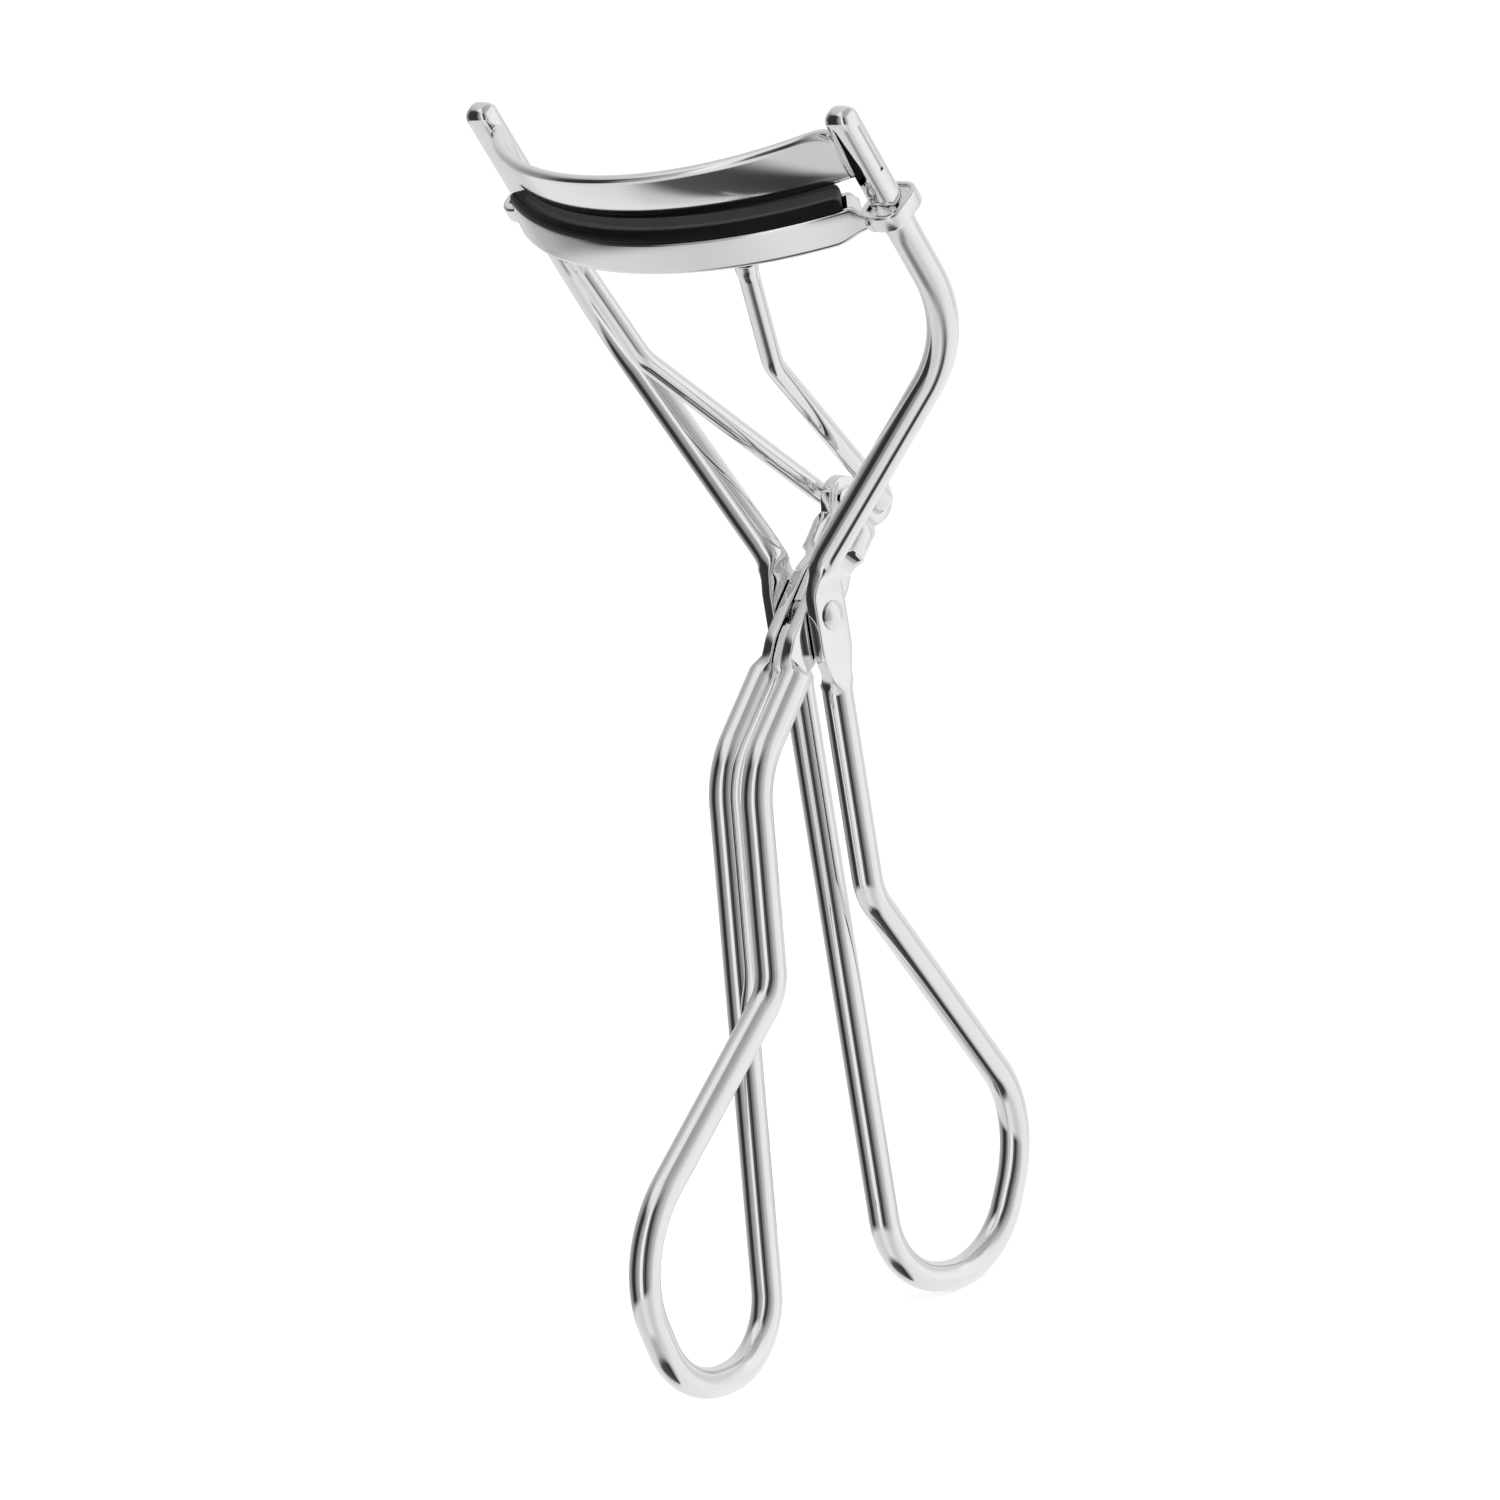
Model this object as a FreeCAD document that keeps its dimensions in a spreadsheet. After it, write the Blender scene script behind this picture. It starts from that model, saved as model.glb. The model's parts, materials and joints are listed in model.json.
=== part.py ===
"""Eyelash curler: two bent wires that cross at a pair of rivets, and a padded jaw that slides on two posts.

Frame: X across the jaws, Y from the front, round side of the jaws to the user's eye, Z up the handles.
The origin is the middle of the bottom of the tool's box.  The pivot axis is parallel to X.
"""

import FreeCAD, Part
import math
import os

import Sketcher

V = FreeCAD.Vector
X_AXIS = V(1, 0, 0)
SIDES = {"right": 1, "left": -1}

# Driving dimensions in millimetres and degrees.  "pivot" values place the rivet axis in the part's frame.
# Lengths named reach, rise or drop are measured from the pivot axis: reach along +Y, rise along +Z.
DIMENSIONS = {
    "pivot_back": 7.35,
    "pivot_height": 58.29,
    # wires
    "wire_dia": 2.4,
    "prong_dia": 1.6,
    "frame_half_gap": 1.92,
    "lever_half_gap": 1.6,
    # posts: bars of flattened wire, leaning forward from the handle
    "post_lean": 27.4,
    "post_half_span": 17.6,
    "post_offset": 11.95,
    "post_wide": 2.3,
    "post_deep": 2.0,
    "post_foot": 28.6,
    "post_top": 40.4,
    "post_blend": 2.4,
    "post_edge": 0.4,
    "crown_radius": 0.95,
    "shoulder_radius": 0.92,
    "groove_wide": 0.35,
    "groove_deep": 0.15,
    "groove_foot": 34.6,
    "groove_long": 4.2,
    # frame wire
    "arm_corner": 18.9,
    "arm_radius": 12.0,
    "arm_foot": 3.5,
    "foot_radius": 6.0,
    "ear_thick": 1.1,
    "ear_wide": 3.5,
    "ear_up": 3.4,
    "ear_down": 5.2,
    "ear_in": 1.6,
    "ear_corner": 0.8,
    "lever_ear_in": 0.4,
    # lever wire
    "eye_reach": 7.7,
    "eye_rise": 6.7,
    "eye_dia": 3.7,
    "eye_hole": 2.1,
    "lever_bend_reach": -10.37,
    "lever_bend_rise": -9.31,
    "lever_bend_radius": 7.0,
    # pivot rivets
    "rivet_dia": 1.5,
    "rivet_hole": 1.6,
    "rivet_head": 2.3,
    "rivet_head_thick": 0.55,
    "rivet_tail": 2.0,
    "rivet_tail_thick": 0.2,
    # jaws: their own level is tipped from square to the posts
    "jaw_tip": 14.0,
    "jaw_offset": 10.9,
    "jaw_level": 29.65,
    "plate_half": 16.45,
    "plate_thick": 0.95,
    "plate_low": 4.75,
    "plate_high": 9.4,
    "plate_low_radius": 26.1,
    "plate_low_front": -6.75,
    "plate_high_radius": 20.5,
    "plate_high_front": -10.45,
    "channel_half": 17.2,
    "channel_base": 0.4,
    "channel_radius": 26.0,
    "channel_front": -8.45,
    "channel_deep": 3.6,
    "channel_tall": 2.65,
    "channel_wall": 0.6,
    "ring_thick": 0.5,
    "ring_tall": 1.4,
    "ring_foot": 30.3,
    "ring_half": 1.38,
    "ring_front": 1.56,
    "ring_back": 1.66,
    "ring_corner": 1.0,
    "pad_gap": 0.05,
    "pad_half": 16.3,
    "pad_top": 4.1,
    "pad_overhang": 0.1,
    "pad_round": 0.45,
    # prongs
    "prong_top_half": 8.45,
    "prong_top_offset": 5.2,
    "prong_bend_half": 6.4,
    "prong_bend_offset": 4.25,
    "prong_bend_level": 22.2,
    "prong_bend_radius": 4.0,
    "prong_foot_half": 3.0,
    "prong_foot_radius": 1.2,
    "prong_pin_end": 0.95,
}


def make_sheet(doc):
    """Put every driving dimension in the spreadsheet, one row each, under its own alias."""
    sheet = doc.addObject("Spreadsheet::Sheet", "dims")
    for row, (name, value) in enumerate(DIMENSIONS.items(), start=1):
        sheet.set("A%d" % row, name)
        sheet.set("B%d" % row, repr(value))
        sheet.setAlias("B%d" % row, name)
    doc.recompute()
    return sheet


doc = FreeCAD.newDocument("eyelash_curler")
sheet = make_sheet(doc)
D = {name: float(sheet.get(name)) for name in DIMENSIONS}

WIRE_R = D["wire_dia"] / 2
LEAN = math.radians(D["post_lean"])
PIVOT = V(0, D["pivot_back"], D["pivot_height"])


# ---------------------------------------------------------------- frames and paths

def at_pivot(x, reach, rise):
    """A point given from the pivot axis."""
    return V(x, PIVOT.y + reach, PIVOT.z + rise)


def at_post(x, offset, level):
    """A point given square to the posts: offset back from the pivot, level up along the posts."""
    reach = offset * math.cos(LEAN) - level * math.sin(LEAN)
    rise = offset * math.sin(LEAN) + level * math.cos(LEAN)
    return at_pivot(x, reach, rise)


def post_placement(offset=0.0, level=0.0):
    """The placement whose Z runs up the posts and whose Y runs back, square to them."""
    return FreeCAD.Placement(at_post(0, offset, level), FreeCAD.Rotation(X_AXIS, D["post_lean"]))


def jaw_placement(height=0.0):
    """The jaws' own placement: the posts' one, tipped so that the front of the jaws stands higher."""
    turn = FreeCAD.Rotation(X_AXIS, D["post_lean"] - D["jaw_tip"])
    base = at_post(0, D["jaw_offset"], D["jaw_level"])
    return FreeCAD.Placement(base + turn.multVec(V(0, 0, height)), turn)


def bent_path(points, radii):
    """A wire of straight runs joined by tangent arcs, one radius for each inner point."""
    edges = []
    start = points[0]
    for corner, before, after, radius in zip(points[1:-1], points, points[2:], radii):
        back = (before - corner).normalize()
        ahead = (after - corner).normalize()
        half = back.getAngle(ahead) / 2
        leg = radius / math.tan(half)
        centre = corner + (back + ahead).normalize() * (radius / math.sin(half))
        middle = centre + (corner - centre).normalize() * radius
        first = corner + back * leg
        last = corner + ahead * leg
        edges.append(Part.LineSegment(start, first).toShape())
        edges.append(Part.Arc(first, middle, last).toShape())
        start = last
    edges.append(Part.LineSegment(start, points[-1]).toShape())
    return Part.Wire(edges)


def bend_wire(name, points, radii, alias):
    """Sweep a round wire of the sheet's diameter along a bent path."""
    path = doc.addObject("Part::Feature", name + "_path")
    path.Shape = bent_path(points, radii)
    ring = doc.addObject("Part::Circle", name + "_section")
    ring.setExpression("Radius", "dims.%s / 2" % alias)
    ring.Placement = FreeCAD.Placement(points[0], FreeCAD.Rotation(V(0, 0, 1), points[1] - points[0]))
    sweep = doc.addObject("Part::Sweep", name + "_bar")
    sweep.Sections = [ring]
    sweep.Spine = (path, ["Edge%d" % (i + 1) for i in range(len(path.Shape.Edges))])
    sweep.Solid = True
    sweep.Frenet = False
    sweep.Transition = "Round corner"
    return sweep


# ---------------------------------------------------------------- small modelling helpers

def new_body(name):
    """A PartDesign body with a label of its own."""
    body = doc.addObject("PartDesign::Body", name)
    body.Label = name
    return body


def plane_of(body, role):
    """One of the body's own origin planes, found by its role."""
    return next(item for item in body.Origin.OriginFeatures if item.Role == role)


def new_sketch(body, name, role="XY_Plane", lift=None):
    """A sketch on one of the body's own planes, lifted by an expression if one is given."""
    sketch = body.newObject("Sketcher::SketchObject", name)
    sketch.AttachmentSupport = [(plane_of(body, role), "")]
    sketch.MapMode = "FlatFace"
    if lift:
        sketch.setExpression("AttachmentOffset.Base.z", lift)
    return sketch


def pad(body, sketch, name, length):
    """A pad whose length is an expression of the sheet."""
    feature = body.newObject("PartDesign::Pad", name)
    feature.Profile = sketch
    feature.setExpression("Length", length)
    doc.recompute()
    return feature


def band_sketch(body, name, radius, thick, front, half, lift, square_ends=False):
    """A curved band: two arcs about one centre on the Y axis, closed by straight ends.

    Every size is an expression: the outer radius, the band's thickness, the Y of its foremost point,
    the half width of its front face, and the height of the sketch. The ends point at the centre, or
    straight back where the band meets a flat face.
    """
    sketch = new_sketch(body, name, lift=lift)
    outer_r, band, foremost, half_width = (value_of(text) for text in (radius, thick, front, half))
    inner_r = outer_r - band
    centre = V(0, foremost + outer_r, 0)
    angle = math.asin(half_width / outer_r)
    inner_angle = math.asin(half_width / inner_r) if square_ends else angle
    arcs = []
    for arc_r, reach in ((outer_r, angle), (inner_r, inner_angle)):
        circle = Part.Circle(centre, V(0, 0, 1), arc_r)
        arcs.append(sketch.addGeometry(
            Part.ArcOfCircle(circle, 1.5 * math.pi - reach, 1.5 * math.pi + reach), False))
    outer, inner = arcs

    def constrain(*args):
        return sketch.addConstraint(Sketcher.Constraint(*args))

    constrain("Coincident", outer, 3, inner, 3)
    constrain("PointOnObject", outer, 3, -2)
    for side, corner in ((-1, 1), (1, 2)):
        low = V(side * half_width, centre.y - outer_r * math.cos(angle), 0)
        high = V(side * inner_r * math.sin(inner_angle), centre.y - inner_r * math.cos(inner_angle), 0)
        line = sketch.addGeometry(Part.LineSegment(low, high), False)
        constrain("Coincident", line, 1, outer, corner)
        constrain("Coincident", line, 2, inner, corner)
        if square_ends:
            constrain("Vertical", line)
        else:
            constrain("PointOnObject", outer, 3, line)
    sizes = {
        "outer_radius": (constrain("Radius", outer, outer_r), radius),
        "inner_radius": (constrain("Radius", inner, inner_r), "%s - (%s)" % (radius, thick)),
        "centre": (constrain("DistanceY", -1, 1, outer, 3, centre.y), "%s + %s" % (front, radius)),
        "left": (constrain("DistanceX", outer, 1, -1, 1, half_width), half),
        "right": (constrain("DistanceX", -1, 1, outer, 2, half_width), half),
    }
    for label, (index, text) in sizes.items():
        sketch.renameConstraint(index, label)
        sketch.setExpression("Constraints." + label, text)
    doc.recompute()
    return sketch


def value_of(text):
    """The number that an expression of the sheet's aliases stands for."""
    total, sign = 0.0, 1
    for word in text.split():
        if word in "+-":
            sign = 1 if word == "+" else -1
        else:
            factor, _, name = word.rpartition("*")
            number = D[name[len("dims."):]] if name.startswith("dims.") else float(name)
            total += sign * number * (float(factor) if factor else 1.0)
            sign = 1
    return total


def rounded_outline(points, radius):
    """Edges of a closed polygon of local (x, y) points with every corner rounded."""
    corners = [V(x, y, 0) for x, y in points]
    edges = []
    legs = []
    for before, corner, after in zip(corners[-1:] + corners[:-1], corners, corners[1:] + corners[:1]):
        back = (before - corner).normalize()
        ahead = (after - corner).normalize()
        half = back.getAngle(ahead) / 2
        leg = radius / math.tan(half)
        centre = corner + (back + ahead).normalize() * (radius / math.sin(half))
        middle = centre + (corner - centre).normalize() * radius
        legs.append((corner + back * leg, middle, corner + ahead * leg))
    for (first, middle, last), (following, _, _) in zip(legs, legs[1:] + legs[:1]):
        edges.append(Part.Arc(first, middle, last).toShape())
        edges.append(Part.LineSegment(last, following).toShape())
    return edges


def slab(name, outline, thick, place):
    """A flat plate: edges in the local XY plane, thickened along local Z by an expression of the sheet."""
    face = doc.addObject("Part::Feature", name + "_face")
    face.Shape = Part.Face(Part.Wire(outline))
    plate = doc.addObject("Part::Extrusion", name)
    plate.Base = face
    plate.DirMode = "Custom"
    plate.Dir = V(0, 0, 1)
    plate.setExpression("LengthFwd", thick)
    plate.Solid = True
    plate.Placement = place
    return plate


def polygon(points):
    """Straight edges round a list of local (x, y) points."""
    corners = [V(x, y, 0) for x, y in points]
    return [Part.LineSegment(a, b).toShape() for a, b in zip(corners, corners[1:] + corners[:1])]


def pin(name, diameter, x_start, x_end, centre):
    """A cylinder along X through a point of the Y-Z plane; its diameter is an expression."""
    shaft = doc.addObject("Part::Cylinder", name)
    shaft.setExpression("Radius", "%s / 2" % diameter)
    shaft.Height = x_end - x_start
    shaft.Placement = FreeCAD.Placement(V(x_start, centre.y, centre.z), FreeCAD.Rotation(V(0, 0, 1), X_AXIS))
    return shaft


def fuse(name, shapes):
    """One solid from several."""
    joined = doc.addObject("Part::MultiFuse", name)
    joined.Shapes = shapes
    joined.Refine = True
    return joined


def cut(name, base, tools):
    """The base with the tools taken away."""
    result = doc.addObject("Part::Cut", name)
    result.Base = base
    result.Tool = fuse(name + "_tools", tools) if len(tools) > 1 else tools[0]
    return result


def across(x, centre, turn=0.0):
    """A placement for a plate that faces +X: local x runs back, local y up, tipped by turn degrees."""
    facing = FreeCAD.Rotation(V(0, 1, 0), V(0, 0, 1), X_AXIS, "ZXY")
    return FreeCAD.Placement(V(x, centre.y, centre.z), FreeCAD.Rotation(X_AXIS, turn) * facing)


def edge_on(centre, turn, depth):
    """A placement for a plate seen from the front: local x is X, local y up, thickened towards the back."""
    facing = FreeCAD.Rotation(X_AXIS, V(0, 0, 1), V(0, -1, 0), "ZXY")
    spin = FreeCAD.Rotation(X_AXIS, turn)
    back = spin.multVec(V(0, depth / 2, 0))
    return FreeCAD.Placement(V(0, centre.y, centre.z) + back, spin * facing)


def mirrored(points, side):
    """Local points with their x turned over for the left side."""
    return [(side * x, y) for x, y in points]


# ---------------------------------------------------------------- frame wire

CUT_DEPTH = 8.0       # how far the flattening cuts reach through a wire, front to back
SLOPE = 1.1           # length of the slope at each end of a flattened stretch
FRAME_LOOP = [        # corners of the rear finger loop: x, reach, rise and bend radius
    (D["frame_half_gap"], 0.0, -22.5, 4.8),
    (0.2, 16.3, -46.8, 10.6),
    (-1.0, 10.7, -58.35, 6.4),
    (-D["frame_half_gap"], 0.0, -55.2, 7.2),
]


def make_post(side, word):
    """The guide bar at the end of the frame wire: flattened wire with a rounded top, blended to round."""
    half_x, half_y = D["post_wide"] / 2, D["post_deep"] / 2
    x_mid = side * D["post_half_span"]
    section = [(-half_x, -half_y), (half_x, -half_y), (half_x, half_y), (-half_x, half_y)]
    full = D["post_foot"] + D["post_blend"]
    bar = slab("post_bar_" + word, rounded_outline(section, D["post_edge"]),
               "dims.post_top - dims.post_foot - dims.post_blend",
               FreeCAD.Placement(at_post(x_mid, D["post_offset"], full), post_placement().Rotation))
    low, high = D["post_foot"] - 1.0, D["post_top"]
    side_view = [(-half_y, low), (half_y, low), (half_y, high), (-half_y, high)]
    crown = slab("post_crown_" + word, rounded_outline(side_view, D["crown_radius"]), "dims.post_wide",
                 across(x_mid - half_x, at_post(0, D["post_offset"], 0), D["post_lean"]))
    front_view = [(-half_x, low), (half_x, low), (half_x, high), (-half_x, high)]
    shoulder = slab("post_shoulder_" + word, rounded_outline(front_view, D["shoulder_radius"]),
                    "dims.post_deep",
                    edge_on(at_post(0, D["post_offset"], 0), D["post_lean"], D["post_deep"]))
    shoulder.Placement.Base.x = x_mid
    topped = doc.addObject("Part::MultiCommon", "post_top_" + word)
    topped.Shapes = [bar, crown, shoulder]
    foot = Part.Circle(at_post(x_mid, D["post_offset"], D["post_foot"]),
                       at_post(0, 0, 1) - at_post(0, 0, 0), WIRE_R)
    blend = doc.addObject("Part::Feature", "post_blend_" + word)
    head = Part.Wire(rounded_outline(section, D["post_edge"]))
    head.Placement = bar.Placement
    blend.Shape = Part.makeLoft([Part.Wire(foot.toShape()), head], True)
    return [topped, blend]


def make_groove(side, word):
    """A fine upright groove in the outer face of a post."""
    half = D["groove_wide"] / 2
    outline = [(-half, D["groove_foot"]), (half, D["groove_foot"]),
               (half, D["groove_foot"] + D["groove_long"]), (-half, D["groove_foot"] + D["groove_long"])]
    face = side * (D["post_half_span"] + D["post_wide"] / 2)
    start = face - D["groove_deep"] if side > 0 else face - 1.0
    return slab("post_groove_" + word, polygon(outline), "1.0",
                across(start, at_post(0, D["post_offset"], 0), D["post_lean"]))


def make_frame_ear(side, word):
    """The flat stretch where the rivet passes: a thin plate and the cuts that flatten the wire beside it."""
    inner, outer = D["ear_in"], D["ear_in"] + D["ear_thick"]
    wide = D["ear_wide"] / 2
    up, down = D["ear_up"], -D["ear_down"]
    outline = [(-0.55 * wide, up), (0.55 * wide, up), (wide, up - 1.9), (wide, down + 2.6),
               (0.6 * wide, down), (-0.6 * wide, down), (-wide, down + 2.6), (-wide, up - 1.9)]
    plate = slab("frame_ear_" + word, rounded_outline(outline, D["ear_corner"]), "dims.ear_thick",
                 across(inner if side > 0 else -outer, at_pivot(0, 0, 0)))
    inside = [(0, down - SLOPE), (inner - 0.9, down - SLOPE), (inner, down + 0.4), (inner, up + 1.8),
              (inner - 0.9, up + 3.2), (0, up + 3.2)]
    outside = [(outer, down + 0.3), (outer + 0.9, down - SLOPE), (outer + 4, down - SLOPE),
               (outer + 4, up + 1.6), (outer + 1.6, up + 1.2), (outer, up - 0.5)]
    cuts = [slab("frame_flat_%s_%d" % (word, i), polygon(mirrored(view, side)), str(CUT_DEPTH),
                 edge_on(at_pivot(0, 0, 0), 0, CUT_DEPTH)) for i, view in enumerate((inside, outside))]
    return plate, cuts


def make_frame_wire():
    """One wire: left post, arm, ear, rear finger loop, ear, arm, right post."""
    half_span, half_gap = D["post_half_span"], D["frame_half_gap"]
    ends = {side: [at_post(side * half_span, D["post_offset"], D["post_foot"]),
                   at_post(side * half_span, D["post_offset"], D["arm_corner"]),
                   at_pivot(side * half_gap, 0, D["arm_foot"])] for side in (1, -1)}
    loop = [at_pivot(*corner[:3]) for corner in FRAME_LOOP]
    bends = [D["arm_radius"], D["foot_radius"]]
    radii = bends + [corner[3] for corner in FRAME_LOOP] + bends[::-1]
    bar = bend_wire("frame", ends[1] + loop + ends[-1][::-1], radii, "wire_dia")
    flats, plates, grooves, posts = [], [], [], []
    for word, side in SIDES.items():
        plate, cuts = make_frame_ear(side, word)
        plates.append(plate)
        flats += cuts
        posts += make_post(side, word)
        grooves.append(make_groove(side, word))
    flat_bar = cut("frame_flattened", bar, flats)
    whole = fuse("frame_whole", [flat_bar] + plates + posts)
    hole = pin("frame_hole", "dims.rivet_hole", -6, 6, at_pivot(0, 0, 0))
    frame = cut("frame_wire", whole, grooves + [hole])
    return frame


# ---------------------------------------------------------------- lever wire

EYE = at_pivot(0, D["eye_reach"], D["eye_rise"])
ARM_TURN = math.degrees(math.atan2(D["eye_rise"], D["eye_reach"])) - 90     # the arm's lean back from upright
LEVER_LOOP = [        # corners of the front finger loop: x, reach, rise and bend radius
    (D["lever_half_gap"], -12.2, -25.95, 4.0),
    (0.1, -31.1, -40.65, 9.4),
    (-0.9, -26.5, -53.9, 8.4),
    (-D["lever_half_gap"], -15.42, -55.06, 5.4),
]


def along_arm(distance):
    """The point of the lever's straight arm at a distance from the pivot, towards the eye."""
    turn = FreeCAD.Rotation(X_AXIS, ARM_TURN)
    return at_pivot(0, 0, 0) + turn.multVec(V(0, 0, distance))


def make_lever_ear(side, word):
    """The lever's flat stretch at the rivet: it keeps the inner half of the wire."""
    inner, outer = D["lever_ear_in"], D["lever_ear_in"] + D["ear_thick"]
    wide = D["ear_wide"] / 2
    long = D["ear_down"] - 0.6
    outline = [(-0.6 * wide, long), (0.6 * wide, long), (wide, long - 2.2), (wide, 2.2 - long),
               (0.6 * wide, -long), (-0.6 * wide, -long), (-wide, 2.2 - long), (-wide, long - 2.2)]
    plate = slab("lever_ear_" + word, rounded_outline(outline, D["ear_corner"]), "dims.ear_thick",
                 across(inner if side > 0 else -outer, at_pivot(0, 0, 0), ARM_TURN))
    outside = [(outer, -long), (outer + 0.9, -long - SLOPE), (outer + 4, -long - SLOPE),
               (outer + 4, long + SLOPE), (outer + 0.9, long + SLOPE), (outer, long)]
    flat = slab("lever_flat_" + word, polygon(mirrored(outside, side)), str(CUT_DEPTH),
                edge_on(at_pivot(0, 0, 0), ARM_TURN, CUT_DEPTH))
    return plate, flat


def make_eye(side, word):
    """The flat eye at the end of a lever arm, which carries a prong's pin."""
    half = D["ear_thick"] / 2
    middle = D["lever_half_gap"]
    inner, outer = middle - half, middle + half
    plate = pin("eye_plate_" + word, "dims.eye_dia", side * middle - half, side * middle + half, EYE)
    views = ([(inner, -2.0), (inner - 0.9, -3.4), (inner - 3, -3.4), (inner - 3, 3.0), (inner, 3.0)],
             [(outer, -2.0), (outer + 0.9, -3.4), (outer + 3, -3.4), (outer + 3, 3.0), (outer, 3.0)])
    flats = [slab("eye_flat_%s_%d" % (word, i), polygon(mirrored(view, side)), str(CUT_DEPTH),
                  edge_on(EYE, ARM_TURN, CUT_DEPTH)) for i, view in enumerate(views)]
    return plate, flats


def make_lever_wire():
    """One wire: left eye, arm, ear, front finger loop, ear, arm, right eye."""
    half_gap = D["lever_half_gap"]
    bend = (D["lever_bend_reach"], D["lever_bend_rise"])
    ends = {side: [at_pivot(side * half_gap, D["eye_reach"], D["eye_rise"]), at_pivot(side * half_gap, *bend)]
            for side in (1, -1)}
    loop = [at_pivot(*corner[:3]) for corner in LEVER_LOOP]
    radii = [D["lever_bend_radius"]] + [corner[3] for corner in LEVER_LOOP] + [D["lever_bend_radius"]]
    bar = bend_wire("lever", ends[1] + loop + ends[-1][::-1], radii, "wire_dia")
    flats, plates = [], []
    for word, side in SIDES.items():
        plate, flat = make_lever_ear(side, word)
        eye, eye_flats = make_eye(side, word)
        plates += [plate, eye]
        flats += [flat] + eye_flats
    flat_bar = cut("lever_flattened", bar, flats)
    whole = fuse("lever_whole", [flat_bar] + plates)
    holes = [pin("lever_hole", "dims.rivet_hole", -6, 6, at_pivot(0, 0, 0)),
             pin("eye_hole", "dims.eye_hole", -6, 6, EYE)]
    return cut("lever_wire", whole, holes)


# ---------------------------------------------------------------- rivets, jaws, pad and prongs

RIVET_GAP = 0.03      # between a rivet's head or tail and the ear beside it
RIVET_BRIM = 0.12     # height of the straight edge under the rivet's dome


def make_rivet(side, word):
    """A pivot rivet: domed head outside the frame's ear, shank, and a thin upset tail inside the lever's."""
    body = new_body("pivot_rivet_" + word)
    sketch = new_sketch(body, "rivet_profile_" + word)
    tail_end = D["lever_ear_in"] - RIVET_GAP
    head_start = D["ear_in"] + D["ear_thick"] + RIVET_GAP
    shank, head, tail = D["rivet_dia"] / 2, D["rivet_head"] / 2, D["rivet_tail"] / 2
    tail_start = tail_end - D["rivet_tail_thick"]
    dome_start = head_start + RIVET_BRIM
    top = head_start + D["rivet_head_thick"]
    points = [V(tail_start, 0, 0), V(tail_start, tail, 0), V(tail_end, tail, 0), V(tail_end, shank, 0),
              V(head_start, shank, 0), V(head_start, head, 0), V(dome_start, head, 0)]
    for start, end in zip(points, points[1:]):
        sketch.addGeometry(Part.LineSegment(start, end), False)
    rise = top - dome_start
    dome_r = (head ** 2 + rise ** 2) / (2 * rise)
    spread = math.asin(head / dome_r)
    middle = V(top - dome_r + dome_r * math.cos(spread / 2), dome_r * math.sin(spread / 2), 0)
    crown = V(top, 0, 0)
    sketch.addGeometry(Part.Arc(points[-1], middle, crown), False)
    sketch.addGeometry(Part.LineSegment(crown, points[0]), False)
    doc.recompute()
    turned = body.newObject("PartDesign::Revolution", "rivet_turned_" + word)
    turned.Profile = sketch
    turned.ReferenceAxis = (sketch, ["H_Axis"])
    turned.Angle = 360
    body.Placement = FreeCAD.Placement(at_pivot(0, 0, 0), FreeCAD.Rotation(V(0, 0, 1), 0 if side > 0 else 180))
    return body


def make_upper_jaw():
    """The fixed plate between the posts: a curved strip whose top leans forward."""
    body = new_body("upper_jaw")
    body.Placement = jaw_placement()
    low, high = (band_sketch(body, "plate_%s_edge" % word, "dims.plate_%s_radius" % word, "dims.plate_thick",
                             "dims.plate_%s_front" % word, "dims.plate_half", "dims.plate_%s" % word,
                             square_ends=True)
                 for word in ("low", "high"))
    loft = body.newObject("PartDesign::AdditiveLoft", "plate_loft")
    loft.Profile = low
    loft.Sections = [high]
    loft.Ruled = True
    return body


def make_ring(side, word):
    """The guide ring at one end of the lower jaw, with room round the post for the jaw's small swing."""
    half, front, back, wall = D["ring_half"], D["ring_front"], D["ring_back"], D["ring_thick"]
    inner = [(-half, -front), (half, -front), (half, back), (-half, back)]
    outer = [(x + math.copysign(wall, x), y + math.copysign(wall, y)) for x, y in inner]
    place = FreeCAD.Placement(at_post(side * D["post_half_span"], D["post_offset"], D["ring_foot"]),
                              post_placement().Rotation)
    band = slab("ring_band_" + word, rounded_outline(outer, D["ring_corner"] + wall), "dims.ring_tall", place)
    hole = slab("ring_hole_" + word, rounded_outline(inner, D["ring_corner"]), "dims.ring_tall", place)
    return band, hole


STEP_CUT = (6, 8, 6)          # a box large enough to take off the channel above a ring
TRIM_CUT = (60, 60, 12)       # a box large enough to take off the prongs above the channel's underside


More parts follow.
